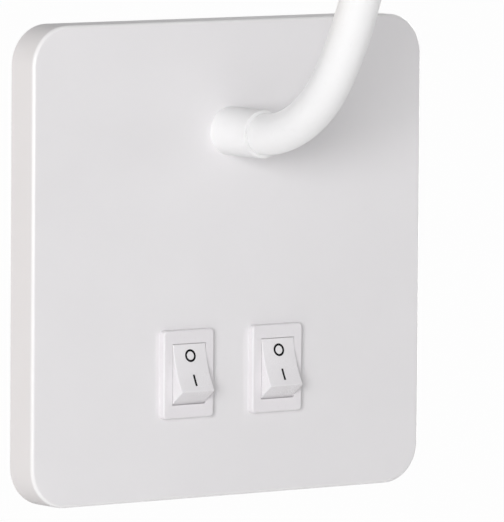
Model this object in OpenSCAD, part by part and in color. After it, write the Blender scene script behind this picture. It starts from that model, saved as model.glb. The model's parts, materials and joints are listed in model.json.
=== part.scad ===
// Wall reading lamp: square cover with two rocker switches, a bendable arm and a small spot head.
// Sizes in millimetres. The wall is the plane y = 0, the front faces -y, z is up.

/* [Cover] */
// Width and height of the square cover
cover_w = 118; // [112:1:124]
// Depth of the cover's side
cover_d = 9.4; // [8.8:0.1:11]
// Radius of the cover's corners
corner_r = 10; // [7:0.5:14]
// Radius of the rounded front edge
edge_r = 0.9; // [0.5:0.1:1.3]
// Thickness of the cover's sheet
sheet_t = 1.5; // [1.2:0.1:1.8]
// Distance from the wall to the front of the cover
base_d = 28; // [27:0.5:32]

/* [Back box] */
// Width and height of the back box
box_w = 86; // [84:1:90]
// Wall thickness of the back box
box_t = 1.2; // [1:0.1:1.4]
// Radius of the back box's corners
box_r = 3; // [2:0.5:4]
// Width of the flange at the front of the back box
flange_w = 8; // [7.5:0.5:9]
// Width of the break in the flange above and below
flange_gap = 50; // [46:1:58]
// Diameter of the studs on the cover
stud_d = 3; // [2.6:0.1:3]
// Length of the studs
stud_l = 7; // [5:0.5:9]
// Width across the flats of the stud nuts
stud_nut_af = 5.5; // [5:0.1:6]
// Height of the stud nuts
stud_nut_t = 2.4; // [1.8:0.1:3]

/* [Wall bracket] */
// Height of the bracket
bracket_h = 46; // [42:1:56]
// Thickness of the bracket's plate
bracket_t = 1.5; // [1.2:0.1:2]
// How far the side tabs reach from the wall
tab_d = 14; // [13:0.5:16]
// Width of the side tabs
tab_w = 18; // [14:1:24]
// Distance between the two wall screw holes
wall_pitch = 60; // [54:1:64]
// Diameter of the wall screw holes
wall_hole_d = 4.5; // [3.5:0.1:5.5]
// Height of the cable hole above the bracket's middle
cable_z = 13; // [12:0.5:14]
// Diameter of the hole in the bracket for the cable bush
bush_hole_d = 12; // [11:0.5:14]
// Diameter of the cable passage in the bush
cable_d = 7.5; // [6:0.5:8]
// Diameter of the bush's rim
bush_rim_d = 16; // [15.5:0.5:17]
// Thickness of the bush's rim
bush_rim_t = 1.5; // [1:0.1:2]
// Diameter of the side screws
side_d = 4; // [3:0.1:4]
// Length of the side screws under the head
side_l = 8; // [6:0.5:10]
// Diameter of the side screws' heads
side_head_d = 7; // [6:0.5:8]
// Height of the side screws' heads
side_head_t = 2.2; // [1.6:0.1:2.6]
// Distance of the side screws from the wall
side_y = 9; // [7:0.5:10]

/* [Back light] */
// Space between the strip board and the cover's side
strip_gap = 2; // [1.5:0.1:3]
// Space between the strip board and the back box
strip_clear = 1; // [0.5:0.1:2]
// Thickness of the strip board
strip_t = 1.2; // [0.8:0.1:1.6]
// Width of one light chip
chip_w = 2.8; // [2:0.1:3.5]
// Height of one light chip
chip_t = 0.8; // [0.5:0.1:1.2]
// Distance between neighbouring chips
chip_pitch = 15; // [13:0.5:16]
// Thickness of the diffuser
diffuser_t = 2; // [1.5:0.1:2.2]
// How far the diffuser lies inside the cover's rim
diffuser_in = 0.6; // [0.4:0.1:1]
// Diameter of the diffuser's posts
post_d = 4; // [3:0.1:4]

/* [Driver and terminals] */
// Distance of the driver's inner side from the middle line
driver_mid = 11; // [10:0.5:15]
// Space between the driver and the flange beside it
driver_side = 0.8; // [0.5:0.1:2]
// Space between the driver and the flange above it
driver_top = 1.8; // [1:0.1:4]
// Height of the driver
driver_h = 38; // [32:0.5:38]
// Thickness of the driver
driver_t = 15; // [12:0.5:17]
// Width of the terminal block
term_w = 17; // [15:0.5:18]
// Distance between the poles of the terminal block
term_pitch = 8; // [7:0.5:9]
// Thickness of the terminal block
term_t = 13; // [11:0.5:15]
// Space between the terminal block and the flange beside it
term_side = 4.3; // [3:0.1:6]
// Height of the terminal block's middle above the centre
term_z = 12; // [10:0.5:15]
// Diameter of the wire holes
term_wire_d = 3.2; // [2.5:0.1:3.6]
// Diameter of the terminal screws
term_screw_d = 3; // [2.5:0.1:3.4]
// Length of the terminal screws
term_screw_l = 4; // [3:0.5:4.5]

/* [Switches] */
// Distance of each switch from the middle line
switch_x = 13.5; // [12.5:0.5:18]
// Distance of the switches' middle from the inside of the box below
switch_edge = 14; // [13:0.1:17]
// Width of the switch frame
bezel_w = 15.2; // [14.5:0.1:16]
// Height of the switch frame
bezel_h = 21.9; // [20.8:0.1:22.5]
// How far the frame stands out from the cover
bezel_t = 2; // [1.6:0.1:2.4]
// Radius of the frame's corners
bezel_r = 1.1; // [0.8:0.1:1.6]
// Radius of the frame's front edge
bezel_edge_r = 0.5; // [0.3:0.1:0.7]
// Width of the switch body behind the cover
body_w = 12.8; // [12.6:0.1:13.2]
// Height of the switch body behind the cover
body_h = 19; // [18.6:0.1:19.4]
// Depth of the switch body behind the cover's front
body_d = 12.5; // [11.8:0.1:14]
// Width of the rocker
rock_w = 9.8; // [9:0.1:10]
// Half length of the rocker's face
rock_half = 5.96; // [5.7:0.02:6.1]
// Height of the rocker's lips above its hinge
rock_rise = 5.18; // [4.9:0.02:5.3]
// Depth of the hollow in the rocker's face
rock_dip = 0.7; // [0.5:0.05:1]
// Turn of the rocker from its middle to either side
rock_turn = 19.5; // [15:0.5:20]
// Depth of the hinge below the front of the frame
hinge_drop = 2.85; // [2.6:0.05:3.1]
// Diameter of the rocker's pivots
pivot_d = 2.2; // [1.8:0.1:2.6]
// Length of each pivot
pivot_l = 1.1; // [0.8:0.1:1.3]
// Outer diameter of the round mark
ring_d = 3.2; // [2.8:0.1:3.4]
// Width of the marks' strokes
stroke_w = 0.55; // [0.4:0.05:0.7]
// Length of the bar mark
bar_l = 3; // [2.4:0.1:3.2]
// Distance of the round mark from the middle of the face
ring_at = 3.2; // [2.8:0.1:3.6]
// Distance of the bar mark from the middle of the face
bar_at = 3.1; // [2.4:0.1:3.8]
// Depth of the marks
mark_t = 0.12; // [0.08:0.01:0.2]
// Width of the contact blades
blade_w = 4.8; // [4:0.1:5]
// Thickness of the contact blades
blade_t = 0.8; // [0.6:0.1:1]
// Length of the contact blades behind the body
blade_l = 8; // [6:0.5:9]
// Distance of each blade from the body's middle
blade_at = 5; // [4:0.5:6]

/* [Arm] */
// Distance of the arm's middle from the inside of the box above
arm_edge = 10.2; // [9:0.1:13]
// Diameter of the arm
arm_d = 10; // [9.4:0.1:10.4]
// Diameter of the steel core in the arm
core_d = 7; // [6.4:0.1:7.4]
// Diameter of the wire passage in the core
wire_d = 3.6; // [3:0.1:4]
// Diameter of the collar at the cover
collar_d = 12; // [11.8:0.1:13]
// Length of the collar
collar_l = 14; // [13:0.5:15]
// Depth of the collar's threaded end
collar_floor = 4; // [3:0.5:5]
// Radius of the collar's front edge
collar_edge_r = 0.3; // [0.2:0.1:1]
// Diameter of the threaded tube through the cover
tube_d = 8; // [7.5:0.1:8.2]
// Length of the threaded tube behind the cover
tube_l = 10; // [8.5:0.5:12]
// Width across the flats of the arm's nut
arm_nut_af = 13; // [12:0.5:14]
// Height of the arm's nut
arm_nut_t = 5; // [4:0.5:5.5]
// Diameter of the lock washer
washer_d = 15; // [14:0.5:15.5]
// Thickness of the lock washer
washer_t = 1; // [0.8:0.1:1.4]
// Length of the short bend that stays with the collar
root_l = 6; // [5:0.5:8]
// Turn of the short bend that stays with the collar
root_turn = 12.5; // [4:0.5:16]
// Length of each section of the arm
section_l = 28; // [26:0.5:30]
// Turn of the arm's first section as it is put up
turn_1 = 43; // [30:0.5:46]
// Turn of the arm's second section as it is put up
turn_2 = 16; // [10:0.5:24]
// Turn of the arm's third section as it is put up
turn_3 = 18.5; // [10:0.5:26]
// Turn of the arm's fourth section as it is put up
turn_4 = 0; // [-8:0.5:8]
// Turn of the arm's fifth section as it is put up
turn_5 = 0; // [-8:0.5:8]
// Turn of the arm's sixth section as it is put up
turn_6 = -32; // [-40:0.5:-20]
// Turn of the arm's seventh section as it is put up
turn_7 = -36; // [-40:0.5:-20]
// Turn of the arm's eighth section as it is put up
turn_8 = -36; // [-40:0.5:-20]
// Turn of the arm's ninth section as it is put up
turn_9 = -31; // [-40:0.5:-20]
// Space between neighbouring sections of the arm
section_gap = 0.3; // [0.25:0.01:0.4]

/* [Head] */
// Diameter of the head
head_d = 28; // [26:0.5:32]
// Length of the head's shell
shell_l = 41; // [41:0.5:46]
// Wall thickness of the shell
shell_t = 1.5; // [1.2:0.1:2]
// Thickness of the head's rear cap
cap_t = 5; // [4:0.5:7]
// Radius of the cap's rear edge
cap_edge_r = 2.5; // [1.5:0.1:3]
// Diameter of the cap's neck
neck_d = 13; // [12.8:0.1:15]
// Length of the cap's neck
neck_l = 10; // [8:0.5:12]
// Depth of the cap's step inside the shell
spigot_l = 4; // [3:0.5:5]
// Length of the heat sink
sink_l = 17; // [14:0.5:17]
// Number of fins on the heat sink
fin_n = 12; // [8:1:14]
// Depth of the slots between the fins
fin_cut = 4; // [2:0.5:4.5]
// Width of the slots between the fins
fin_w = 2; // [1:0.1:2.2]
// Thickness of the lamp board
board_t = 1.6; // [1:0.1:2]
// Diameter of the lamp board
board_d = 22; // [18:0.5:22]
// Width of the lamp's chip
emitter_w = 3.5; // [2.5:0.1:4]
// Height of the lamp's chip
emitter_t = 1; // [0.6:0.1:1.2]
// Diameter of the lens at the front
lens_d = 22; // [19:0.5:22]
// Diameter of the lens at the rear
lens_rear_d = 9; // [8:0.5:11]
// Length of the lens
lens_l = 13; // [11:0.5:13]
// Thickness of the lens's front plate
lens_plate = 2; // [1.5:0.1:2.5]
// Thickness of the front ring's lip
ring_lip = 1.6; // [1.2:0.1:2]
// Width of the opening in the front ring
ring_open_d = 20; // [17:0.5:20]

/* [Hidden] */
$fn = 96;
// small clearances
fit_slip = 0.1;
fit_thread = 0.02;
fit_pivot = 0.05;
fit_loose = 0.3;
fit_rock = 0.2;
fit_side = 0.15;
fit_wire = 0.5;
eps = 1;

// cover and box
rim_y = base_d - cover_d;
skin_y = base_d - sheet_t;
box_in = box_w - 2 * box_t;
stud_at = box_w / 2 - box_t - flange_w / 2;
bracket_w = box_in - 2 * fit_slip;
flange_in = box_in - 2 * flange_w;
slot_w = 0.9;
slot_d = 0.9;

// back light
strip_y = skin_y - strip_t;
strip_w = cover_w - 2 * sheet_t - 2 * strip_gap;
strip_in = box_w + 2 * strip_clear;
strip_mid = (strip_w + strip_in) / 4;
diffuser_y = rim_y + diffuser_in;
diffuser_w = cover_w - 2 * sheet_t - 2 * fit_loose;
chip_n = 6;

// driver
driver_w = flange_in / 2 - driver_side - driver_mid;
driver_x = driver_mid + driver_w / 2;
driver_z = flange_in / 2 - driver_top - driver_h / 2;

// terminal block
term_x = flange_in / 2 - term_side - term_w / 2;
term_poles = 3;
term_l = term_poles * term_pitch;
term_y = skin_y - term_t;

// switches
switch_z = box_in / 2 - switch_edge;
hinge_y = base_d + bezel_t - hinge_drop;
rock_end = sqrt(rock_half * rock_half + rock_rise * rock_rise);
rock_foot = 5.3;
rock_keel = 36;
rock_open_w = rock_w + 2 * fit_side;
cavity_r = rock_end + fit_rock;
face_r = (rock_half * rock_half + rock_dip * rock_dip) / (2 * rock_dip);
face_z = rock_rise - rock_dip + face_r;
cut_w = body_w + 2 * fit_slip;
cut_h = body_h + 2 * fit_slip;
body_r = 0.8;
clip_out = 0.6;
clip_d = 4;
clip_w = 6;
blade_in = 1.5;
blade_hole_d = 1.8;

// arm
arm_z = box_in / 2 - arm_edge;
arm_r = arm_d / 2;
core_r = core_d / 2;
wire_r = wire_d / 2;
dome_step = 0.05;
dome_lap = 0.5;
turns = [turn_1, turn_2, turn_3, turn_4, turn_5, turn_6, turn_7, turn_8, turn_9, 0];
// number of moving sections
section_n = len(turns);
function chord(l, t) = t == 0 ? l : l * sin(t / 2) / (t / 2 * PI / 180);
function arm_a(k) = k == 0 ? root_turn : arm_a(k - 1) + turns[k - 1];
root_y = base_d + collar_l + chord(root_l, root_turn) * cos(root_turn / 2);
root_z = arm_z + chord(root_l, root_turn) * sin(root_turn / 2);
function arm_out(k) = k == 0 ? root_y :
    arm_out(k - 1) + chord(section_l, turns[k - 1]) * cos(arm_a(k - 1) + turns[k - 1] / 2);
function arm_up(k) = k == 0 ? root_z :
    arm_up(k - 1) + chord(section_l, turns[k - 1]) * sin(arm_a(k - 1) + turns[k - 1] / 2);

// head, measured from the end of the arm
head_r = head_d / 2;
shell_in = head_r - shell_t;
sink_z = cap_t + spigot_l;
board_z = sink_z + sink_l;
emitter_z = board_z + board_t;
front_z = cap_t + shell_l;
lens_z = front_z - ring_lip - lens_plate - lens_l;

white = [0.93, 0.93, 0.93];
plastic = [0.9, 0.9, 0.91];
steel = [0.72, 0.73, 0.75];
brass = [0.8, 0.68, 0.38];
black = [0.06, 0.06, 0.07];
grey = [0.45, 0.46, 0.48];
frost = [0.96, 0.97, 0.98];

// x right, y up, z out from the wall
module upright() {
    rotate([90, 0, 0]) children();
}

// four copies at the corners of a rectangle, each turned to face its corner
module corners(w, h) {
    for (q = [0:3])
        translate([[1, -1, -1, 1][q] * w / 2, [1, 1, -1, -1][q] * h / 2, 0])
            rotate([0, 0, 90 * q]) children();
}

// block with rounded upright edges
module block(w, h, r, z0, z1) {
    translate([-w / 2 + r, -h / 2, z0]) cube([w - 2 * r, h, z1 - z0]);
    for (s = [-1, 1])
        translate([s * (w / 2 - r / 2) - r / 2, -h / 2 + r, z0]) cube([r, h - 2 * r, z1 - z0]);
    translate([0, 0, z0])
        corners(w - 2 * r, h - 2 * r)
            rotate_extrude(angle = 90) square([r, z1 - z0]);
}

// section from the corner's centre to the outside, with a rounded front edge
module pad_section(r, e, t) {
    square([r - e, t]);
    square([r, t - e]);
    translate([r - e, t - e])
        intersection() {
            circle(e);
            square(e);
        }
}

// block with rounded upright edges and a rounded front edge
module pad(w, h, r, e, z0, z1) {
    wi = w - 2 * r;
    hi = h - 2 * r;
    translate([-wi / 2, -hi / 2, z0]) cube([wi, hi, z1 - z0]);
    translate([0, 0, z0]) {
        corners(wi, hi) rotate_extrude(angle = 90) pad_section(r, e, z1 - z0);
        for (a = [0, 180])
            rotate([0, 0, a])
                translate([wi / 2, hi / 2, 0])
                    rotate([90, 0, 0]) linear_extrude(hi) pad_section(r, e, z1 - z0);
        for (a = [90, 270])
            rotate([0, 0, a])
                translate([hi / 2, wi / 2, 0])
                    rotate([90, 0, 0]) linear_extrude(wi) pad_section(r, e, z1 - z0);
    }
}

// round bar from z0 to z1
module bar(d, z0, z1) {
    translate([0, 0, z0]) cylinder(d = d, h = z1 - z0);
}

// hexagon nut with a round hole
module hex_nut(af, d, z0, z1) {
    difference() {
        translate([0, 0, z0]) cylinder(d = af / cos(30), h = z1 - z0, $fn = 6);
        bar(d, z0 - eps, z1 + eps);
    }
}

// square drawn cover with a hole for the arm and two cut-outs for the switches
module front_cover() {
    inner = cover_w - 2 * sheet_t;
    color(white) upright() difference() {
        pad(cover_w, cover_w, corner_r, edge_r, rim_y, base_d);
        block(inner, inner, corner_r - sheet_t, rim_y - eps, skin_y);
        translate([0, arm_z, 0]) bar(tube_d + 2 * fit_slip, rim_y, base_d + eps);
        for (s = [-1, 1])
            translate([s * switch_x - cut_w / 2, -switch_z - cut_h / 2, rim_y])
                cube([cut_w, cut_h, cover_d + eps]);
    }
}

// four studs welded to the back of the cover
module cover_studs() {
    color(steel) upright()
        corners(2 * stud_at, 2 * stud_at) bar(stud_d, skin_y - stud_l, skin_y);
}

// nuts that hold the back box on the studs
module stud_nuts() {
    top = skin_y - box_t;
    color(steel) upright()
        corners(2 * stud_at, 2 * stud_at)
            hex_nut(stud_nut_af, stud_d + 2 * fit_thread, top - stud_nut_t, top);
}

// box between wall and cover, open at the back, with a flange at the front
module back_box() {
    color(white) upright() difference() {
        block(box_w, box_w, box_r, 0, skin_y);
        block(box_in, box_in, box_r - box_t, -eps, skin_y - box_t);
        block(flange_in, flange_in, box_r, skin_y - box_t - eps, skin_y + eps);
        translate([-flange_gap / 2, -box_in / 2, skin_y - box_t - eps])
            cube([flange_gap, box_in, box_t + 2 * eps]);
        corners(2 * stud_at, 2 * stud_at) bar(stud_d + 2 * fit_slip, skin_y - 2 * box_t, skin_y + eps);
        for (s = [-1, 1])
            translate([s * box_w / 2, 0, side_y])
                rotate([0, 90, 0]) bar(side_d + 2 * fit_slip, -2 * box_t, 2 * box_t);
    }
}

// flat plate screwed to the wall
module wall_bracket() {
    color(steel) upright() difference() {
        translate([-bracket_w / 2, -bracket_h / 2, 0]) cube([bracket_w, bracket_h, bracket_t]);
        for (s = [-1, 1])
            translate([s * wall_pitch / 2, 0, 0]) bar(wall_hole_d, -eps, bracket_t + eps);
        translate([0, cable_z, 0]) bar(bush_hole_d, -eps, bracket_t + eps);
    }
}

// two tabs welded on the ends of the plate, threaded for the side screws
module bracket_tabs() {
    color(steel) upright()
        for (s = [-1, 1])
            translate([s * (bracket_w / 2 - bracket_t / 2), 0, 0]) difference() {
                translate([-bracket_t / 2, -tab_w / 2, bracket_t])
                    cube([bracket_t, tab_w, tab_d - bracket_t]);
                translate([0, 0, side_y])
                    rotate([0, 90, 0]) bar(side_d + 2 * fit_thread, -bracket_t, bracket_t);
            }
}

// screws through the sides of the box into the bracket's tabs
module side_screws() {
    color(steel) upright()
        for (a = [0, 180])
            rotate([0, 0, a])
                translate([box_w / 2, 0, side_y])
                    rotate([0, 90, 0]) difference() {
                        union() {
                            bar(side_d, -side_l, 0);
                            bar(side_head_d, 0, side_head_t);
                        }
                        translate([-side_head_d, -slot_w / 2, side_head_t - slot_d])
                            cube([2 * side_head_d, slot_w, slot_d + eps]);
                    }
}

// bush that guards the supply cable in the bracket
module cable_bush() {
    color(black) upright()
        translate([0, cable_z, 0]) difference() {
            union() {
                bar(bush_hole_d, 0, bracket_t);
                bar(bush_rim_d, bracket_t, bracket_t + bush_rim_t);
            }
            bar(cable_d, -eps, bracket_t + bush_rim_t + eps);
        }
}

// square ring of circuit board on the back of the cover
module halo_board() {
    color(frost) upright() difference() {
        block(strip_w, strip_w, corner_r - sheet_t - 2 * fit_slip, strip_y, skin_y);
        block(strip_in, strip_in, box_r, strip_y - eps, skin_y + eps);
    }
}

// light chips on the ring, facing the wall
module halo_chips() {
    color([0.95, 0.85, 0.35]) upright()
        for (a = [0, 90, 180, 270])
            rotate([0, 0, a])
                for (i = [0:chip_n - 1])
                    translate([strip_mid - chip_w / 2,
                               (i - (chip_n - 1) / 2) * chip_pitch - chip_w / 2, strip_y - chip_t])
                        cube([chip_w, chip_w, chip_t]);
}

// frosted ring that closes the back of the cover, standing on posts
module halo_diffuser() {
    top = diffuser_y + diffuser_t;
    inner = box_w + 2 * fit_loose;
    color(frost) upright() {
        difference() {
            block(diffuser_w, diffuser_w, corner_r - sheet_t - fit_loose, diffuser_y, top);
            block(inner, inner, box_r + fit_loose, diffuser_y - eps, top + eps);
        }
        corners(2 * strip_mid, 2 * strip_mid) bar(post_d, top, strip_y);
        for (a = [0, 90, 180, 270])
            rotate([0, 0, a]) translate([strip_mid, 0, 0]) bar(post_d, top, strip_y);
    }
}

// driver bonded to the back of the cover
module led_driver() {
    lead_d = 4;
    driver_r = 2;
    lid_in = 0.6;
    lid_t = 2;
    body_y = skin_y - driver_t;
    color(plastic) upright()
        translate([-driver_x, driver_z, 0]) difference() {
            union() {
                block(driver_w, driver_h, driver_r, body_y + lid_t, skin_y);
                block(driver_w - 2 * lid_in, driver_h - 2 * lid_in, driver_r - lid_in, body_y,
                      body_y + lid_t);
            }
            for (s = [-1, 1])
                translate([0, s * driver_h / 2, skin_y - driver_t / 2])
                    rotate([90, 0, 0]) bar(lead_d, -lead_d, lead_d);
        }
}

// three pole terminal block bonded to the back of the cover
module terminal_block() {
    step_t = 4;
    gap_w = 1.4;
    screw_x = term_w / 4;
    color(frost) upright()
        translate([term_x, term_z, 0]) difference() {
            translate([-term_w / 2, -term_l / 2, term_y]) cube([term_w, term_l, term_t]);
            for (i = [1:term_poles - 1])
                translate([-term_w, -term_l / 2 + i * term_pitch - gap_w / 2, term_y - eps])
                    cube([2 * term_w, gap_w, step_t + eps]);
            for (i = [0:term_poles - 1])
                translate([0, (i - (term_poles - 1) / 2) * term_pitch, 0]) {
                    translate([0, 0, skin_y - term_t / 2])
                        rotate([0, 90, 0]) bar(term_wire_d, -term_w, term_w);
                    for (s = [-1, 1])
                        translate([s * screw_x, 0, 0])
                            bar(term_screw_d, term_y - eps, skin_y - term_t / 2);
                }
        }
}

// clamp screws of the terminal block
module terminal_screws() {
    screw_x = term_w / 4;
    low = skin_y - term_t / 2 - term_wire_d / 2;
    color(brass) upright()
        translate([term_x, term_z, 0])
            for (i = [0:term_poles - 1], s = [-1, 1])
                translate([s * screw_x, (i - (term_poles - 1) / 2) * term_pitch, 0]) difference() {
                    bar(term_screw_d, low - term_screw_l, low);
                    translate([-term_screw_d, -slot_w / 2, low - term_screw_l - eps])
                        cube([2 * term_screw_d, slot_w, slot_d + eps]);
                }
}

// place of a switch, s is -1 for the left and 1 for the right
module at_switch(s) {
    upright() translate([s * switch_x, -switch_z, 0]) children();
}

// spring clip above or below the switch body, behind the cover
module switch_clip() {
    translate([-clip_w / 2, 0, 0])
        rotate([90, 0, 90])
            linear_extrude(clip_w)
                polygon([[body_h / 2, skin_y],
                         [body_h / 2 + fit_slip + clip_out, skin_y],
                         [body_h / 2 + fit_slip + clip_out, skin_y - clip_out],
                         [body_h / 2, skin_y - clip_d]]);
}

// one switch body with its frame, a round trough for the rocker and bores for its pivots
module switch_body(s) {
    color(plastic) at_switch(s) difference() {
        union() {
            pad(bezel_w, bezel_h, bezel_r, bezel_edge_r, base_d, base_d + bezel_t);
            block(body_w, body_h, body_r, base_d - body_d, base_d);
            switch_clip();
            mirror([0, 1, 0]) switch_clip();
        }
        translate([0, 0, hinge_y])
            rotate([0, 90, 0]) {
                bar(2 * cavity_r, -rock_open_w / 2, rock_open_w / 2);
                bar(pivot_d + 2 * fit_pivot, -body_w, body_w);
            }
        for (b = [-1, 1])
            translate([-blade_w / 2, b * blade_at - blade_t / 2, base_d - body_d - eps])
                cube([blade_w, blade_t, blade_in + eps]);
    }
}

// outline of a rocker seen from the side, in its middle position
module rocker_section() {
    half = [[rock_half, rock_rise],
            [rock_end * cos(rock_foot), -rock_end * sin(rock_foot)],
            [rock_end * cos(rock_keel), -rock_end * sin(rock_keel)]];
    difference() {
        polygon(concat(half, [for (i = [2:-1:0]) [-half[i][0], half[i][1]]]));
        translate([0, face_z]) circle(face_r);
    }
}

// place of the rocker's hinge at rest, turned towards the round mark
module at_rocker(s) {
    at_switch(s) translate([0, 0, hinge_y]) rotate([-rock_turn, 0, 0]) children();
}

// place on the rocker's hollow face, a distance along it from the middle
module on_face(at) {
    translate([0, 0, face_z])
        rotate([at / face_r * 180 / PI, 0, 0]) translate([0, 0, -face_r]) children();
}

// round bar along the middle of the hollow face's curve
module face_bar(r) {
    translate([0, 0, face_z]) rotate([0, 90, 0]) bar(2 * r, -rock_w / 2, rock_w / 2);
}

// the round mark and the bar, let into the face
module rocker_marks() {
    intersection() {
        union() {
            on_face(ring_at) difference() {
                bar(ring_d, -eps, eps);
                bar(ring_d - 2 * stroke_w, -2 * eps, 2 * eps);
            }
            on_face(-bar_at)
                translate([-stroke_w / 2, -bar_l / 2, -eps]) cube([stroke_w, bar_l, 2 * eps]);
        }
        face_bar(face_r + mark_t);
    }
}

module rocker(s) {
    color(plastic) at_rocker(s) difference() {
        union() {
            translate([-rock_w / 2, 0, 0])
                rotate([90, 0, 90]) linear_extrude(rock_w) rocker_section();
            rotate([0, 90, 0]) bar(pivot_d, -rock_w / 2 - pivot_l, rock_w / 2 + pivot_l);
        }
        rocker_marks();
    }
}

module marks(s) {
    color(black) at_rocker(s) difference() {
        rocker_marks();
        face_bar(face_r);
    }
}

// two contact blades of one switch
module blades(s) {
    low = base_d - body_d - blade_l;
    color(brass) at_switch(s)
        for (b = [-1, 1])
            translate([-blade_w / 2, b * blade_at - blade_t / 2, 0]) difference() {
                translate([0, 0, low]) cube([blade_w, blade_t, blade_l + blade_in]);
                translate([blade_w / 2, 0, low + blade_w / 2])
                    rotate([90, 0, 0]) bar(blade_hole_d, -2 * blade_t, blade_t);
            }
}

// place of the arm on the cover
module at_arm() {
    upright() translate([0, arm_z, 0]) children();
}

// collar the arm leaves from
module arm_collar() {
    color(white) at_arm() difference() {
        translate([0, 0, base_d])
            rotate_extrude() pad_section(collar_d / 2, collar_edge_r, collar_l);
        bar(tube_d, base_d - eps, base_d + collar_floor);
        bar(arm_d + fit_slip, base_d + collar_floor, base_d + collar_l + eps);
    }
}

// threaded tube from the collar through the cover
module arm_tube() {
    low = skin_y - tube_l;
    color(steel) at_arm() difference() {
        bar(tube_d, low, base_d + collar_floor);
        bar(wire_d + 2 * fit_wire, low - eps, base_d + collar_floor + eps);
    }
}

// toothed lock washer behind the cover
module arm_washer() {
    tooth_n = 12;
    tooth_w = 1.2;
    tooth_d = 1.6;
    low = skin_y - washer_t;
    color(steel) at_arm() difference() {
        bar(washer_d, low, skin_y);
        bar(tube_d + 2 * fit_slip, low - eps, skin_y + eps);
        for (i = [0:tooth_n - 1])
            rotate([0, 0, i * 360 / tooth_n])
                translate([washer_d / 2 - tooth_d, -tooth_w / 2, low - eps])
                    cube([2 * tooth_d, tooth_w, washer_t + 2 * eps]);
    }
}

module arm_nut() {
    top = skin_y - washer_t;
    color(steel) at_arm() hex_nut(arm_nut_af, tube_d + 2 * fit_thread, top - arm_nut_t, top);
}

// ring section of the sleeve or the core
module ring(ro, ri) {
    difference() {
        circle(ro);
        circle(ri);
    }
}

// a section carried along a straight or an arc that turns towards y
module sweep(l, t) {
    if (t == 0) {
        linear_extrude(l) children();
    } else {
        bend_r = l / (abs(t) * PI / 180);
        rotate([0, 0, t < 0 ? 180 : 0])
            translate([0, bend_r, 0])
                rotate([90, 0, -90])
                    rotate_extrude(angle = abs(t)) translate([bend_r, 0]) children();
    }
}

// the frame at the far end of such a run
module at_end(l, t) {
    translate([0, chord(l, t) * sin(t / 2), chord(l, t) * cos(t / 2)])
        rotate([-t, 0, 0]) children();
}

// round end of a section, a ring cut from a ball about the bend's centre, let a little into the run
module dome(ro, ri) {
    rotate_extrude()
        intersection() {
            translate([ri + dome_step, -dome_lap]) square([ro - ri - 2 * dome_step, 2 * arm_r]);
            circle(arm_r - dome_step);
        }
}

// place of a moving section, k from 0
module at_section(k) {
    translate([0, -arm_out(k), arm_up(k)]) rotate([90 - arm_a(k), 0, 0]) children();
}

// one layer of a moving section with a hollow start and a round end
module section(k, ro, ri) {
    at_section(k) difference() {
        union() {
            sweep(section_l, turns[k]) ring(ro, ri);
            if (k < section_n - 1)
                at_end(section_l, turns[k]) dome(ro == arm_r ? 2 * ro : ro, ri);
        }
        sphere(arm_r + section_gap);
    }
}

// one layer of the short run that stays with the collar
module root(ro, ri) {
    at_arm() {
        translate([0, 0, base_d + collar_floor]) linear_extrude(collar_l - collar_floor) ring(ro, ri);
        translate([0, 0, base_d + collar_l]) {
            sweep(root_l, root_turn) ring(ro, ri);
            at_end(root_l, root_turn) dome(ro == arm_r ? 2 * ro : ro, ri);
        }
    }
}

module sleeve(k) {
    color(white)
        if (k == 0) root(arm_r, core_r);
        else section(k - 1, arm_r, core_r);
}

module core(k) {
    color(steel)
        if (k == 0) root(core_r, wire_r);
        else section(k - 1, core_r, wire_r);
}

// the end of the arm
module at_head() {
    at_section(section_n - 1) at_end(section_l, turns[section_n - 1]) children();
}

// rear cap of the head with a neck around the arm
module head_cap() {
    color(white) at_head() difference() {
        union() {
            bar(neck_d, -neck_l, eps);
            translate([0, 0, cap_t])
                rotate([180, 0, 0]) rotate_extrude() pad_section(head_r, cap_edge_r, cap_t);
            bar(2 * shell_in, cap_t - eps, cap_t + spigot_l);
        }
        bar(arm_d + fit_slip, -neck_l - eps, 0);
        bar(wire_d, -eps, cap_t + spigot_l + eps);
    }
}

// round shell of the head
module head_shell() {
    color(white) at_head() difference() {
        bar(head_d, cap_t, front_z);
        bar(2 * shell_in, cap_t - eps, front_z + eps);
    }
}

// finned heat sink behind the lamp board
module heat_sink() {
    sink_floor = 3;
    color(grey) at_head() difference() {
        bar(2 * shell_in, sink_z, board_z);
        bar(wire_d, sink_z - eps, board_z + eps);
        for (i = [0:fin_n - 1])
            rotate([0, 0, i * 360 / fin_n])
                translate([shell_in - fin_cut, -fin_w / 2, sink_z - eps])
                    cube([2 * fin_cut, fin_w, sink_l - sink_floor + eps]);
    }
}

module lamp_board() {
    wire_at = 8;
    wire_hole_d = 2;
    color(frost) at_head() difference() {
        bar(board_d, board_z, emitter_z);
        for (s = [-1, 1])
            translate([s * wire_at, 0, 0]) bar(wire_hole_d, board_z - eps, emitter_z + eps);
    }
}

module lamp_emitter() {
    color([0.95, 0.85, 0.35]) at_head()
        translate([-emitter_w / 2, -emitter_w / 2, emitter_z])
            cube([emitter_w, emitter_w, emitter_t]);
}

// clear lens, a cone with a front plate and a hollow over the lamp
module lens() {
    hollow_d = emitter_w * sqrt(2) + 2 * fit_wire;
    hollow_l = 4;
    plate_z = lens_z + lens_l;
    color([0.85, 0.92, 0.96, 0.6]) at_head() difference() {
        union() {
            translate([0, 0, lens_z])
                cylinder(d1 = lens_rear_d, d2 = lens_d, h = lens_l);
            bar(2 * shell_in, plate_z, plate_z + lens_plate);
        }
        bar(hollow_d, lens_z - eps, lens_z + hollow_l);
    }
}

// ring that holds the lens in the shell
module front_ring() {
    color(white) at_head() difference() {
        bar(2 * shell_in, front_z - ring_lip, front_z);
        bar(ring_open_d, front_z - ring_lip - eps, front_z + eps);
    }
}

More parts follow.
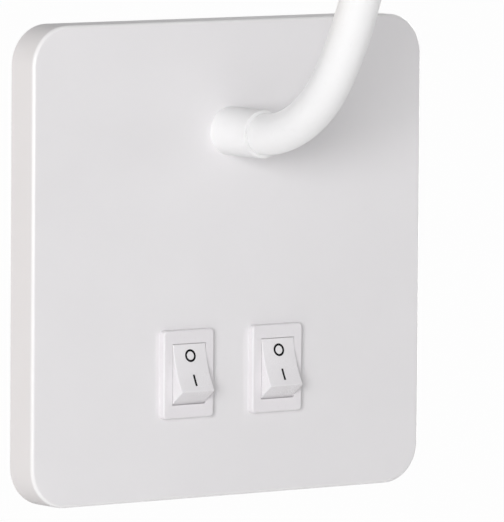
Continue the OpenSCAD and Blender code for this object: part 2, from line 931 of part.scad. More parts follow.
front_cover();
cover_studs();
stud_nuts();
back_box();
wall_bracket();
bracket_tabs();
side_screws();
cable_bush();
halo_board();
halo_chips();
halo_diffuser();
led_driver();
terminal_block();
terminal_screws();
switch_body(-1);  // switch_body_l
switch_body(1);  // switch_body_r
rocker(-1);  // rocker_l
rocker(1);  // rocker_r
marks(-1);  // marks_l
marks(1);  // marks_r
blades(-1);  // blades_l
blades(1);  // blades_r
arm_collar();
arm_tube();
arm_washer();
arm_nut();
sleeve(0);  // sleeve_0
sleeve(1);  // sleeve_1
sleeve(2);  // sleeve_2
sleeve(3);  // sleeve_3
sleeve(4);  // sleeve_4
sleeve(5);  // sleeve_5
sleeve(6);  // sleeve_6
sleeve(7);  // sleeve_7
sleeve(8);  // sleeve_8
sleeve(9);  // sleeve_9
sleeve(10);  // sleeve_10
core(0);  // core_0
core(1);  // core_1
core(2);  // core_2
core(3);  // core_3
core(4);  // core_4
core(5);  // core_5
core(6);  // core_6
core(7);  // core_7
core(8);  // core_8
core(9);  // core_9
core(10);  // core_10
head_cap();
head_shell();
heat_sink();
lamp_board();
lamp_emitter();
lens();
front_ring();
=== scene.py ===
import json
import math
import bpy
import numpy as np
from mathutils import Matrix, Vector

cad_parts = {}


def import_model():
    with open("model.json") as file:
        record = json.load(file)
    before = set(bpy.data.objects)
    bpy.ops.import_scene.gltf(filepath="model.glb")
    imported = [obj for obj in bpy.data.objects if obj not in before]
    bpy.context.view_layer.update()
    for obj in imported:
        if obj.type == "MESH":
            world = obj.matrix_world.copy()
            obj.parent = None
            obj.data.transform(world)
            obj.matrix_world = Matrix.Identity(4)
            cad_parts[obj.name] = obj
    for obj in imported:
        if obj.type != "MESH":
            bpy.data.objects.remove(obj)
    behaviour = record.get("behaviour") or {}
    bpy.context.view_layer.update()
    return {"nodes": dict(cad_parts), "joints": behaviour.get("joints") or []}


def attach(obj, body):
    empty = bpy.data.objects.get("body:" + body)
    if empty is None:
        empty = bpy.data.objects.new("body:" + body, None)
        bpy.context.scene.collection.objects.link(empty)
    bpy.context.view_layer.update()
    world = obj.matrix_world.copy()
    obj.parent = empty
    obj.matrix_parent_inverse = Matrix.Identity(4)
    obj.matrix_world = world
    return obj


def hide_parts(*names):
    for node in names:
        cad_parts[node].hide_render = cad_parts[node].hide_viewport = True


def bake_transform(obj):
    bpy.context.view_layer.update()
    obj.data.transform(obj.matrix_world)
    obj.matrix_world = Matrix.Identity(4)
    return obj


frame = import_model()
nodes = frame["nodes"]
scene = bpy.context.scene
print("frame loaded:", len(nodes), "nodes")


# camera: place, turn and lens found from the plate's edges in the picture
shot = dict(azimuth=-36.1157, elevation=5.129, roll=0.3964,
            place=(-1.14297, -1.60392, 0.174105),
            focalPixels=7910.2, longSide=522, sensor=36.0, near=0.05, far=60.0)


def placeCamera(s):
    a, e, r = (math.radians(s[k]) for k in ("azimuth", "elevation", "roll"))
    back = Vector((math.sin(a) * math.cos(e), -math.cos(a) * math.cos(e), math.sin(e)))
    right = Vector((math.cos(a), math.sin(a), 0.0))
    up = back.cross(right)
    right, up = math.cos(r) * right + math.sin(r) * up, math.cos(r) * up - math.sin(r) * right
    lens = bpy.data.cameras.new("photoLens")
    lens.sensor_fit = "AUTO"
    lens.sensor_width = s["sensor"]
    lens.lens = s["sensor"] * s["focalPixels"] / s["longSide"]
    lens.clip_start, lens.clip_end = s["near"], s["far"]
    lens.dof.use_dof = False
    camera = bpy.data.objects.new("photoCamera", lens)
    turned = Matrix((right, up, back)).transposed().to_4x4()
    camera.matrix_world = Matrix.Translation(s["place"]) @ turned
    scene.collection.objects.link(camera)
    scene.camera = camera


placeCamera(shot)
scene.view_settings.view_transform = "Standard"
print("camera placed")


# node helpers
def put(tree, kind, **settings):
    # a new node with its own settings, or the values of its sockets, by name
    n = tree.nodes.new(kind)
    for k, v in settings.items():
        if hasattr(n, k):
            setattr(n, k, v)
        else:
            n.inputs[k.replace("_", " ")].default_value = v
    return n


def feed(tree, socket, value):
    # a socket takes a link from another socket, or else a fixed value
    if isinstance(value, bpy.types.NodeSocket):
        tree.links.new(value, socket)
    else:
        socket.default_value = value


def sums(tree, operation, *values):
    n = put(tree, "ShaderNodeMath", operation=operation)
    for socket, v in zip(n.inputs, values):
        feed(tree, socket, v)
    return n.outputs[0]


def shared(tree, a, b, share):
    # a times its share plus b times the rest
    rest = sums(tree, "MULTIPLY", b, 1.0 - share)
    return sums(tree, "ADD", sums(tree, "MULTIPLY", a, share), rest)


def apart(tree, a, b):
    # the distance between two numbers
    return sums(tree, "ABSOLUTE", sums(tree, "SUBTRACT", a, b))


def split(tree, vector):
    n = put(tree, "ShaderNodeSeparateXYZ")
    feed(tree, n.inputs[0], vector)
    return n.outputs


def noise(tree, vector, scale, detail, rough):
    n = put(tree, "ShaderNodeTexNoise", noise_dimensions="3D", Detail=detail, Roughness=rough)
    feed(tree, n.inputs["Scale"], scale)
    feed(tree, n.inputs["Vector"], vector)
    return n.outputs["Fac"]


def ranged(tree, value, low=0.0, high=1.0, span=(0.0, 1.0), **settings):
    # a value within span becomes one from low to high
    n = put(tree, "ShaderNodeMapRange", clamp=True, From_Min=span[0], From_Max=span[1],
            To_Min=low, To_Max=high, **settings)
    feed(tree, n.inputs["Value"], value)
    return n.outputs["Result"]


noiseMiddle = (0.3, 0.7)  # where most of a noise lies


def spread(tree, value):
    return ranged(tree, value, span=noiseMiddle)


def mixColour(tree, factor, first, second):
    # each colour is fixed or comes from another node
    n = put(tree, "ShaderNodeMix", data_type="RGBA")
    for socket, c in zip([s for s in n.inputs if s.type == "RGBA"], (first, second)):
        feed(tree, socket, (*c, 1) if isinstance(c, tuple) else c)
    feed(tree, n.inputs[0], factor)
    return [s for s in n.outputs if s.type == "RGBA"][0]


def mixShader(tree, factor, first, second):
    n = put(tree, "ShaderNodeMixShader")
    for socket, v in zip(n.inputs, (factor, first, second)):
        feed(tree, socket, v)
    return n.outputs[0]


def bumped(tree, height, body, strength, distance):
    n = put(tree, "ShaderNodeBump", Strength=strength, Distance=distance)
    feed(tree, n.inputs["Height"], height)
    feed(tree, body.inputs["Normal"], n.outputs[0])


# light: a soft source on the left front, a broad weak one far round on the right, a warm one
# behind the left edge that reaches only the side of the plate, and one behind on the right
studio = dict(
    surround=0.31, surroundColour=(1.0, 0.995, 1.0),
    key=dict(place=(-1.32, -1.31, 0.23), size=0.8, power=22.8, colour=(1.0, 0.995, 1.0)),
    fill=dict(place=(1.9, -0.8, 0.2), size=1.2, power=4.0, colour=(1.0, 0.99, 1.0)),
    warm=dict(place=(-1.2, 1.45, 0.0), size=0.8, power=3.8, colour=(1.0, 0.76, 0.52)),
    rear=dict(place=(1.45, 1.2, 0.1), size=1.0, power=10.8, colour=(1.0, 1.0, 1.0)),
    aim=(0.0, -0.03, 0.0),
    floor=dict(height=-0.42, half=14.0, colour=(0.86, 0.86, 0.86), glow=0.98))


def softLight(name, s, aim):
    lamp = bpy.data.lights.new(name, "AREA")
    lamp.shape = "DISK"
    lamp.size = s["size"]
    lamp.energy = s["power"]
    lamp.color = s["colour"]
    o = bpy.data.objects.new(name, lamp)
    o.location = s["place"]
    towards = Vector(aim) - Vector(s["place"])
    o.rotation_euler = towards.to_track_quat("-Z", "Y").to_euler()
    scene.collection.objects.link(o)


def seenDirectly(tree):
    # 1 for rays from the camera, from gloss and through glass
    rays = put(tree, "ShaderNodeLightPath").outputs
    plain = sums(tree, "MAXIMUM", rays["Is Camera Ray"], rays["Is Glossy Ray"])
    return sums(tree, "MAXIMUM", plain, rays["Is Transmission Ray"])


def surroundings(s):
    world = bpy.data.worlds.new("paleRoom")
    world.use_nodes = True
    tree = world.node_tree
    tree.nodes.clear()
    out = put(tree, "ShaderNodeOutputWorld")
    lit = put(tree, "ShaderNodeBackground", Color=(*s["surroundColour"], 1), Strength=s["surround"])
    seen = put(tree, "ShaderNodeBackground", Color=(1, 1, 1, 1), Strength=1.0)
    both = mixShader(tree, seenDirectly(tree), lit.outputs[0], seen.outputs[0])
    feed(tree, out.inputs[0], both)
    scene.world = world


def layFloor(s):
    # a flat square, far enough below that the plate throws no shadow into the picture
    h, z = s["half"], s["height"]
    mesh = bpy.data.meshes.new("floor")
    mesh.from_pydata([(-h, -h, z), (h, -h, z), (h, h, z), (-h, h, z)], [], [(0, 1, 2, 3)])
    o = bpy.data.objects.new("floor", mesh)
    scene.collection.objects.link(o)
    mat = bpy.data.materials.new("paleFloor")
    mat.use_nodes = True
    tree = mat.node_tree
    tree.nodes.clear()
    out = put(tree, "ShaderNodeOutputMaterial")
    matt = put(tree, "ShaderNodeBsdfDiffuse", Color=(*s["colour"], 1))
    glow = put(tree, "ShaderNodeEmission", Strength=1.0)
    clear = put(tree, "ShaderNodeBsdfTransparent")
    share = sums(tree, "MULTIPLY", seenDirectly(tree), s["glow"])
    top = mixShader(tree, share, matt.outputs[0], glow.outputs[0])
    below = put(tree, "ShaderNodeNewGeometry").outputs["Backfacing"]
    both = mixShader(tree, below, top, clear.outputs[0])  # seen from below the floor is clear
    feed(tree, out.inputs[0], both)
    mesh.materials.append(mat)


surroundings(studio)
for lightName in ("key", "fill", "warm", "rear"):
    softLight(lightName + "Light", studio[lightName], studio["aim"])
layFloor(studio["floor"])
print("studio lit")


# shared effects; each noise has its detail and roughness as a pair
def newGroup(name, outputs, **inputs):
    # takes the place and some numbers or triples, puts out numbers
    g = bpy.data.node_groups.new(name, "ShaderNodeTree")
    add = g.interface.new_socket
    add(name="Vector", in_out="INPUT", socket_type="NodeSocketVector")
    for label, value in inputs.items():
        kind = "NodeSocketVector" if isinstance(value, tuple) else "NodeSocketFloat"
        add(name=label, in_out="INPUT", socket_type=kind).default_value = value
    for label in outputs:
        add(name=label, in_out="OUTPUT", socket_type="NodeSocketFloat")
    return g, g.nodes.new("NodeGroupInput"), g.nodes.new("NodeGroupOutput")


sprayLook = dict(wave=(1.0, 0.35), grain=(2.0, 0.6), cloud=(3.0, 0.55), waveShare=0.75, cloudShare=0.6)


def coatGroup(s):
    # sprayed coat: round shallow waves, a fine grain and slow clouds of tone
    g, i, o = newGroup("sprayedCoat", ("Height", "Tone", "Gloss"), Wave=700.0, Grain=3200.0, Cloud=22.0)
    at = i.outputs["Vector"]
    wave = noise(g, at, i.outputs["Wave"], *s["wave"])
    grain = noise(g, at, i.outputs["Grain"], *s["grain"])
    cloud = noise(g, at, i.outputs["Cloud"], *s["cloud"])
    feed(g, o.inputs["Height"], shared(g, wave, grain, s["waveShare"]))
    feed(g, o.inputs["Tone"], spread(g, cloud))
    feed(g, o.inputs["Gloss"], spread(g, shared(g, cloud, grain, s["cloudShare"])))
    return g


mouldLook = dict(flow=(3.0, 0.5), fine=(2.0, 0.5), pitShare=0.6, flowShare=0.5,
                 speck=(0.0, 0.5), speckScale=900.0, speckSpan=(0.70, 0.76))


def mouldGroup(s):
    # moulded plastic: spark-eroded pits from small cells, flow clouds and rare specks
    g, i, o = newGroup("mouldSkin", ("Height", "Tone", "Gloss", "Speck"), Pits=5200.0, Flow=60.0)
    at = i.outputs["Vector"]
    cells = put(g, "ShaderNodeTexVoronoi", feature="F1")
    feed(g, cells.inputs["Vector"], at)
    feed(g, cells.inputs["Scale"], i.outputs["Pits"])
    flow = noise(g, at, i.outputs["Flow"], *s["flow"])
    fine = noise(g, at, i.outputs["Pits"], *s["fine"])
    specks = noise(g, at, s["speckScale"], *s["speck"])
    feed(g, o.inputs["Height"], shared(g, cells.outputs["Distance"], fine, s["pitShare"]))
    feed(g, o.inputs["Tone"], spread(g, flow))
    feed(g, o.inputs["Gloss"], spread(g, shared(g, flow, fine, s["flowShare"])))
    feed(g, o.inputs["Speck"], ranged(g, specks, span=s["speckSpan"]))
    return g


metalLook = dict(scratch=(4.0, 0.65), blotch=(3.0, 0.55), pits=(2.0, 0.5), pitScale=2600.0,
                 scratchShare=0.7, glossShare=0.5)


def metalGroup(s):
    # bare metal: long fine scratches along one way, blotches of tarnish and small pits
    g, i, o = newGroup("bareMetal", ("Height", "Tarnish", "Gloss"), Stretch=(1.0, 1.0, 1.0), Blotch=160.0)
    at = i.outputs["Vector"]
    drawn = put(g, "ShaderNodeVectorMath", operation="MULTIPLY")
    feed(g, drawn.inputs[0], at)
    feed(g, drawn.inputs[1], i.outputs["Stretch"])
    scratch = noise(g, drawn.outputs[0], 1.0, *s["scratch"])
    blotch = noise(g, at, i.outputs["Blotch"], *s["blotch"])
    pits = noise(g, at, s["pitScale"], *s["pits"])
    feed(g, o.inputs["Height"], shared(g, scratch, pits, s["scratchShare"]))
    feed(g, o.inputs["Tarnish"], spread(g, blotch))
    feed(g, o.inputs["Gloss"], spread(g, shared(g, scratch, blotch, s["glossShare"])))
    return g


# the cover's rounded front edge, where wiping polishes the paint and a lighter colour paints a highlight
coverEdge = dict(half=0.059, corner=0.010, front=-0.028, round=0.0009, full=0.55,
                 patch=(3.0, 0.6), patchScale=260.0, patchRange=(0.55, 1.25))


def edgeGroup(s):
    # how far a point lies in from the side wall (by the rounded square's distance) and behind
    # # the front, each as a share of the edge's radius; the smaller of what is left of the two,
    # # broken into patches, is the mask for the polish and the painted highlight
    g, i, o = newGroup("rubbedEdge", ("Mask",))
    at = i.outputs["Vector"]
    xyz = split(g, at)

    def past(axis):
        beyond = sums(g, "SUBTRACT", sums(g, "ABSOLUTE", xyz[axis]), s["half"] - s["corner"])
        return sums(g, "POWER", sums(g, "MAXIMUM", beyond, 0.0), 2.0)

    def left(depth):
        return sums(g, "SUBTRACT", 1.0, sums(g, "DIVIDE", depth, s["round"]))

    reach = sums(g, "POWER", sums(g, "ADD", past("X"), past("Z")), 0.5)
    side = left(sums(g, "SUBTRACT", s["corner"], reach))
    face = left(sums(g, "SUBTRACT", xyz["Y"], s["front"]))
    ease = ranged(g, sums(g, "MINIMUM", side, face), span=(0.0, s["full"]), interpolation_type="SMOOTHSTEP")
    patchy = ranged(g, noise(g, at, s["patchScale"], *s["patch"]), *s["patchRange"])
    feed(g, o.inputs["Mask"], sums(g, "MINIMUM", sums(g, "MULTIPLY", ease, patchy), 1.0))
    return g


sprayedCoat, mouldSkin, bareMetal = coatGroup(sprayLook), mouldGroup(mouldLook), metalGroup(metalLook)
rubbedEdge = edgeGroup(coverEdge)
print("shared effects made")


def startMaterial(name, **sockets):
    # an empty finish with fixed values on its shader, and the place on the object
    m = bpy.data.materials.new(name)
    m.use_nodes = True
    t = m.node_tree
    t.nodes.clear()
    out = put(t, "ShaderNodeOutputMaterial")
    body = put(t, "ShaderNodeBsdfPrincipled", **sockets)
    feed(t, out.inputs["Surface"], body.outputs[0])
    return m, t, body, put(t, "ShaderNodeTexCoord").outputs["Object"]


def useGroup(t, group, vector, **values):
    n = put(t, "ShaderNodeGroup", node_tree=group)
    for k, v in values.items():
        n.inputs[k].default_value = v
    feed(t, n.inputs["Vector"], vector)
    return n.outputs


def toned(t, g, s):
    return mixColour(t, g["Tone"], s["dark"], s["light"])


def speckled(t, g, s):
    # the moulded tone with dirt in the specks
    return mixColour(t, sums(t, "MULTIPLY", g["Speck"], s["speck"]), toned(t, g, s), s["dirt"])


def glossed(t, g, body, s):
    feed(t, body.inputs["Roughness"], ranged(t, g["Gloss"], *s["rough"]))


# paint, moulded plastic and bare metal
paintLook = dict(ior=1.48, depth=0.0001, rubShare=0.7, rubGloss=0.2)
plasticLook = dict(ior=1.53, depth=0.00005)
bareLook = dict(depth=0.00005)


def paintFinish(name, s):
    m, t, body, at = startMaterial(name, Specular_IOR_Level=s["shine"], IOR=paintLook["ior"])
    g = useGroup(t, sprayedCoat, at, Wave=s["wave"], Grain=s["grain"], Cloud=s["cloud"])
    tone = toned(t, g, s)
    if "rubbed" in s:  # polished along the front edge, and lighter there as a painted highlight
        polishAndHighlight = useGroup(t, rubbedEdge, at)["Mask"]
        # the lighter colour along the edge is a painted highlight; the coat on the same mask is real polish
        tone = mixColour(t, sums(t, "MULTIPLY", polishAndHighlight, paintLook["rubShare"]), tone, s["rubbed"])
        feed(t, body.inputs["Coat Weight"], polishAndHighlight)
        body.inputs["Coat Roughness"].default_value = paintLook["rubGloss"]
    if "mouth" in s:  # painted shade: the collar's end face is made a little greyer than its sides
        end = ranged(t, split(t, at)["Y"], span=s["mouth"])
        tone = mixColour(t, end, tone, s["rimmed"])
    feed(t, body.inputs["Base Color"], tone)
    glossed(t, g, body, s)
    bumped(t, g["Height"], body, s["bump"], paintLook["depth"])
    return m


def mouldFinish(name, s):
    m, t, body, at = startMaterial(name, Specular_IOR_Level=s["shine"], IOR=plasticLook["ior"])
    g = useGroup(t, mouldSkin, at, Pits=s["pits"], Flow=s["flow"])
    feed(t, body.inputs["Base Color"], speckled(t, g, s))
    glossed(t, g, body, s)
    bumped(t, g["Height"], body, s["bump"], plasticLook["depth"])
    return m


def metalFinish(name, s):
    m, t, body, at = startMaterial(name, Metallic=1.0)
    g = useGroup(t, bareMetal, at, Stretch=s["stretch"], Blotch=s["blotch"])
    feed(t, body.inputs["Base Color"], mixColour(t, g["Tarnish"], s["dark"], s["light"]))
    glossed(t, g, body, s)
    bumped(t, g["Height"], body, s["bump"], bareLook["depth"])
    return m


# the cover's lighter edge colour paints a highlight along its front edge
coverPaint = paintFinish("coverPaint", dict(
    dark=(0.785, 0.775, 0.785), light=(0.81, 0.80, 0.81), rough=(0.58, 0.68), shine=0.14,
    wave=620.0, grain=3000.0, cloud=20.0, bump=0.10, rubbed=(0.89, 0.885, 0.88)))
armCoat = dict(
    dark=(0.86, 0.86, 0.862), light=(0.885, 0.885, 0.886), rough=(0.50, 0.60), shine=0.2,
    wave=700.0, grain=3400.0, cloud=45.0, bump=0.08)
headPaint = paintFinish("headPaint", armCoat)
collarPaint = paintFinish("collarPaint", dict(
    armCoat, mouth=(-0.0416, -0.04195), rimmed=(0.79, 0.79, 0.79)))  # mouth: from none to all, along y; the greyer end face is painted shade
boxPaint = paintFinish("boxPaint", dict(
    dark=(0.80, 0.795, 0.79), light=(0.845, 0.84, 0.835), rough=(0.42, 0.55), shine=0.4,
    wave=520.0, grain=2600.0, cloud=26.0, bump=0.16))
lampBoardMask = paintFinish("lampBoardMask", dict(
    dark=(0.79, 0.79, 0.775), light=(0.85, 0.85, 0.84), rough=(0.28, 0.42), shine=0.5,
    wave=900.0, grain=2600.0, cloud=120.0, bump=0.1))
switchMould = mouldFinish("switchMould", dict(
    dark=(0.775, 0.755, 0.775), light=(0.80, 0.785, 0.80), rough=(0.42, 0.52), shine=0.18,
    dirt=(0.62, 0.6, 0.58), speck=0.10, pits=4200.0, flow=70.0, bump=0.16))
rockerGloss = mouldFinish("rockerGloss", dict(
    dark=(0.80, 0.785, 0.80), light=(0.825, 0.81, 0.825), rough=(0.22, 0.30), shine=0.35,
    dirt=(0.66, 0.64, 0.62), speck=0.08, pits=5200.0, flow=90.0, bump=0.06))
driverCase = mouldFinish("driverCase", dict(
    dark=(0.78, 0.78, 0.765), light=(0.83, 0.83, 0.815), rough=(0.45, 0.6), shine=0.5,
    dirt=(0.5, 0.48, 0.45), speck=0.18, pits=2800.0, flow=50.0, bump=0.3))
bushRubber = mouldFinish("bushRubber", dict(
    dark=(0.018, 0.018, 0.02), light=(0.034, 0.034, 0.037), rough=(0.5, 0.7), shine=0.5,
    dirt=(0.12, 0.11, 0.1), speck=0.3, pits=2400.0, flow=120.0, bump=0.4))
inkBlack = mouldFinish("inkBlack", dict(
    dark=(0.004, 0.004, 0.005), light=(0.009, 0.008, 0.009), rough=(0.5, 0.62), shine=0.1,
    dirt=(0.03, 0.03, 0.03), speck=0.2, pits=6000.0, flow=900.0, bump=0.2))
brightZinc = metalFinish("brightZinc", dict(
    dark=(0.45, 0.45, 0.445), light=(0.59, 0.595, 0.61), rough=(0.30, 0.48),
    stretch=(90.0, 2600.0, 2600.0), blotch=150.0, bump=0.18))
brassContact = metalFinish("brassContact", dict(
    dark=(0.56, 0.42, 0.18), light=(0.78, 0.62, 0.30), rough=(0.22, 0.4),
    stretch=(2400.0, 120.0, 2400.0), blotch=260.0, bump=0.15))
sinkAluminium = metalFinish("sinkAluminium", dict(
    dark=(0.66, 0.665, 0.67), light=(0.78, 0.785, 0.79), rough=(0.3, 0.45),
    stretch=(2200.0, 260.0, 260.0), blotch=140.0, bump=0.2))
coreSteel = metalFinish("coreSteel", dict(
    dark=(0.40, 0.40, 0.41), light=(0.56, 0.56, 0.57), rough=(0.28, 0.45),
    stretch=(300.0, 1800.0, 1800.0), blotch=200.0, bump=0.3))
print("paints, plastics and metals made")


# the arm's silicone
sleeveLook = dict(dark=(0.86, 0.86, 0.862), light=(0.89, 0.89, 0.89), rough=(0.50, 0.60), shine=0.18, ior=1.43,
                  soak=0.03, soakDepth=0.002, soakColour=(1.0, 0.95, 0.9), sheen=0.5, sheenRough=0.45,
                  dirt=(0.7, 0.69, 0.67), speck=0.06, pits=3000.0, flow=40.0,
                  lines=(60.0, 3.0, 1.0), drawn=(2.0, 0.5), drawnShare=0.5, bump=0.12, depth=0.00004)


def sleeveFinish(s):
    # smooth extruded silicone: faint draw lines along the length, slow tone, dust specks
    m, t, body, at = startMaterial(
        "sleeveSilicone", Specular_IOR_Level=s["shine"], IOR=s["ior"], Subsurface_Weight=s["soak"],
        Subsurface_Scale=s["soakDepth"], Subsurface_Radius=s["soakColour"],
        Sheen_Weight=s["sheen"], Sheen_Roughness=s["sheenRough"])
    lines = put(t, "ShaderNodeVectorMath", operation="MULTIPLY")
    feed(t, lines.inputs[0], at.node.outputs["UV"])
    feed(t, lines.inputs[1], s["lines"])
    drawn = noise(t, lines.outputs[0], 1.0, *s["drawn"])
    g = useGroup(t, mouldSkin, at, Pits=s["pits"], Flow=s["flow"])
    feed(t, body.inputs["Base Color"], speckled(t, g, s))
    glossed(t, g, body, s)
    bumped(t, shared(t, drawn, g["Height"], s["drawnShare"]), body, s["bump"], s["depth"])
    return m


# the light ring's board
boardLook = dict(dark=(0.80, 0.80, 0.785), light=(0.85, 0.85, 0.84), rough=(0.28, 0.42), shine=0.5,
                 wave=900.0, grain=2600.0, cloud=60.0, grainShare=0.3, bump=0.5, depth=0.00004,
                 innerTrack=0.0462, outerTrack=0.0533, trackHalf=0.0009,
                 trackTone=(0.72, 0.715, 0.68), trackCover=0.8)


def ringBoardFinish(s):
    # white solder mask with two bus tracks that run round the square: a point's distance out
    # is the larger of its distances across and up
    m, t, body, at = startMaterial("ringBoard", Specular_IOR_Level=s["shine"])
    xyz = split(t, at)
    out = sums(t, "MAXIMUM", sums(t, "ABSOLUTE", xyz["X"]), sums(t, "ABSOLUTE", xyz["Z"]))

    def band(centre):
        return sums(t, "LESS_THAN", apart(t, out, centre), s["trackHalf"])

    tracks = sums(t, "MAXIMUM", band(s["innerTrack"]), band(s["outerTrack"]))
    g = useGroup(t, sprayedCoat, at, Wave=s["wave"], Grain=s["grain"], Cloud=s["cloud"])
    cover = sums(t, "MULTIPLY", tracks, s["trackCover"])
    feed(t, body.inputs["Base Color"], mixColour(t, cover, toned(t, g, s), s["trackTone"]))
    glossed(t, g, body, s)
    height = sums(t, "ADD", sums(t, "MULTIPLY", g["Height"], s["grainShare"]), tracks)
    bumped(t, height, body, s["bump"], s["depth"])
    return m


# the chips on the light ring
chipLook = dict(middle=0.04975, pitch=0.015, phosphorHalf=0.00108, shine=0.4, rough=(0.35, 0.5),
                pale=((0.80, 0.79, 0.74), (0.86, 0.85, 0.80)), gold=((0.80, 0.56, 0.07), (0.86, 0.66, 0.14)),
                pits=6000.0, flow=500.0, grainShare=0.2, bump=0.4, depth=0.0001)


def chipFinish(s):
    # each chip has a pale frame and a yellow square of phosphor, placed by its distance along
    # its side of the ring, which is its height on the upright sides
    m, t, body, at = startMaterial("phosphorChip", Specular_IOR_Level=s["shine"])
    xyz = split(t, at)
    x, z = xyz["X"], xyz["Z"]
    ax, az = sums(t, "ABSOLUTE", x), sums(t, "ABSOLUTE", z)
    upright = sums(t, "GREATER_THAN", ax, az)
    across = apart(t, sums(t, "MAXIMUM", ax, az), s["middle"])
    level = sums(t, "MULTIPLY", sums(t, "SUBTRACT", 1.0, upright), x)
    along = sums(t, "ADD", sums(t, "MULTIPLY", upright, z), level)
    local = apart(t, sums(t, "FLOORED_MODULO", along, s["pitch"]), s["pitch"] / 2)
    inside = sums(t, "LESS_THAN", sums(t, "MAXIMUM", across, local), s["phosphorHalf"])
    g = useGroup(t, mouldSkin, at, Pits=s["pits"], Flow=s["flow"])
    pale, gold = mixColour(t, g["Tone"], *s["pale"]), mixColour(t, g["Tone"], *s["gold"])
    feed(t, body.inputs["Base Color"], mixColour(t, inside, pale, gold))
    glossed(t, g, body, s)
    height = sums(t, "SUBTRACT", sums(t, "MULTIPLY", g["Height"], s["grainShare"]), inside)
    bumped(t, height, body, s["bump"], s["depth"])
    return m


# the head's one larger chip
emitterLook = dict(dark=(0.80, 0.56, 0.07), light=(0.88, 0.68, 0.16), rough=(0.35, 0.5), shine=0.4,
                   pits=7000.0, flow=900.0, bump=0.3, depth=0.00008)


def emitterFinish(s):
    # grained phosphor
    m, t, body, at = startMaterial("lampPhosphor", Specular_IOR_Level=s["shine"])
    g = useGroup(t, mouldSkin, at, Pits=s["pits"], Flow=s["flow"])
    feed(t, body.inputs["Base Color"], toned(t, g, s))
    glossed(t, g, body, s)
    bumped(t, g["Height"], body, s["bump"], s["depth"])
    return m


def frostFinish(name, s):
    # frosted or milky plastic that lets some light through
    m, t, body, at = startMaterial(name, Specular_IOR_Level=s["shine"], IOR=s["ior"],
                                   Transmission_Weight=s["through"])
    g = useGroup(t, mouldSkin, at, Pits=s["pits"], Flow=s["flow"])
    feed(t, body.inputs["Base Color"], speckled(t, g, s))
    glossed(t, g, body, s)
    bumped(t, g["Height"], body, s["bump"], plasticLook["depth"])
    return m


# the head's lens
lensLook = dict(ior=1.49, shine=0.5, dome=700.0, uneven=0.15, haze=(3.0, 0.5), hazeScale=300.0,
                dark=(0.93, 0.95, 0.96), light=(0.98, 0.985, 0.99), rough=(0.03, 0.10),
                bump=0.35, depth=0.00012)


def lensFinish(s):
    # clear acrylic with a honeycomb of tiny domes that shows as soft facets
    m, t, body, at = startMaterial("lensAcrylic", IOR=s["ior"], Transmission_Weight=1.0,
                                   Specular_IOR_Level=s["shine"])
    cells = put(t, "ShaderNodeTexVoronoi", feature="SMOOTH_F1", Scale=s["dome"], Randomness=s["uneven"])
    feed(t, cells.inputs["Vector"], at)
    haze = noise(t, at, s["hazeScale"], *s["haze"])
    feed(t, body.inputs["Base Color"], mixColour(t, haze, s["dark"], s["light"]))
    feed(t, body.inputs["Roughness"], ranged(t, haze, *s["rough"]))
    bumped(t, cells.outputs["Distance"], body, s["bump"], s["depth"])
    return m


sleeveSilicone = sleeveFinish(sleeveLook)
ringBoard = ringBoardFinish(boardLook)
phosphorChip = chipFinish(chipLook)
lampPhosphor = emitterFinish(emitterLook)
frostedRing = frostFinish("frostedRing", dict(
    dark=(0.86, 0.865, 0.87), light=(0.91, 0.915, 0.92), rough=(0.5, 0.62), shine=0.5, ior=1.49, through=0.35,
    dirt=(0.7, 0.7, 0.68), speck=0.06, pits=3600.0, flow=40.0, bump=0.2))
milkyNylon = frostFinish("milkyNylon", dict(
    dark=(0.78, 0.785, 0.75), light=(0.84, 0.845, 0.81), rough=(0.34, 0.46), shine=0.5, ior=1.53, through=0.25,
    dirt=(0.6, 0.58, 0.52), speck=0.1, pits=3000.0, flow=90.0, bump=0.2))
lensAcrylic = lensFinish(lensLook)
print("special finishes made")


sections = 11  # of the arm, the one in the collar among them


def dress(material, *names):
    for n in names:
        nodes[n].data.materials.clear()
        nodes[n].data.materials.append(material)


dress(coverPaint, "front_cover")
dress(collarPaint, "arm_collar")
dress(headPaint, "head_cap", "head_shell", "front_ring")
dress(boxPaint, "back_box")
dress(brightZinc, "cover_studs", "stud_nuts", "wall_bracket", "bracket_tabs", "side_screws")
dress(brightZinc, "arm_tube", "arm_washer", "arm_nut")
dress(coreSteel, *["core_%d" % k for k in range(sections)])
dress(sleeveSilicone, *["sleeve_%d" % k for k in range(sections)])
dress(switchMould, "switch_body_l", "switch_body_r")
dress(rockerGloss, "rocker_l", "rocker_r")
dress(inkBlack, "marks_l", "marks_r")
dress(brassContact, "blades_l", "blades_r", "terminal_screws")
dress(bushRubber, "cable_bush")
dress(ringBoard, "halo_board")
dress(phosphorChip, "halo_chips")
dress(frostedRing, "halo_diffuser")
dress(driverCase, "led_driver")
dress(milkyNylon, "terminal_block")
dress(sinkAluminium, "heat_sink")
dress(lampBoardMask, "lamp_board")
dress(lampPhosphor, "lamp_emitter")
dress(lensAcrylic, "lens")
print("solids dressed")


